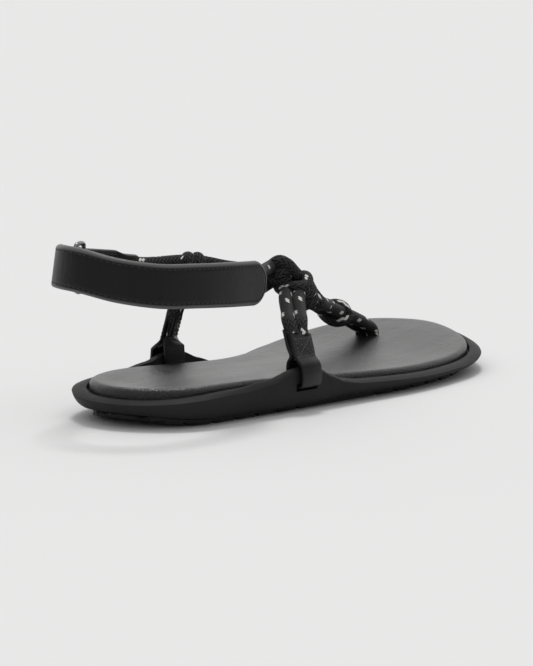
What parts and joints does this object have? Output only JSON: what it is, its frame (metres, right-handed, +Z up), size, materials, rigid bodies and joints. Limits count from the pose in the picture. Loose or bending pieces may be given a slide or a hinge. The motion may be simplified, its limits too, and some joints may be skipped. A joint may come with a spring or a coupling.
{
  "type": "rope sandal",
  "caption": "Flat thong sandal for the right foot: moulded sole with two side wings, proud insole, knotted pairs of braided cord as the upper and a leather strap round the heel",
  "frame": {"origin": "middle of the assembly's bounding box, on the floor under the sole", "axes": "+X to the toe along the sandal's length, +Y to the wearer's left, which is the big-toe (medial) side of this right sandal, +Z up"},
  "size_m": [0.288, 0.1122, 0.0772],
  "materials": {
    "outsole": "matte black rubber tread",
    "midsole": "matte black moulded foam rubber",
    "insole": "black fine-grained leather",
    "leather": "smooth semi-matte black leather",
    "rope": "black braided cord with white flecks",
    "metal": "small gunmetal wire ring"
  },
  "bodies": {
    "root": {"outsole": "outsole", "midsole": "midsole", "insole": "insole", "lateral_loop": "leather", "medial_loop": "leather", "rope_upper": "rope", "heel_strap": "leather", "fastening_tab": "leather", "ring": "metal"}
  },
  "joints": []
}
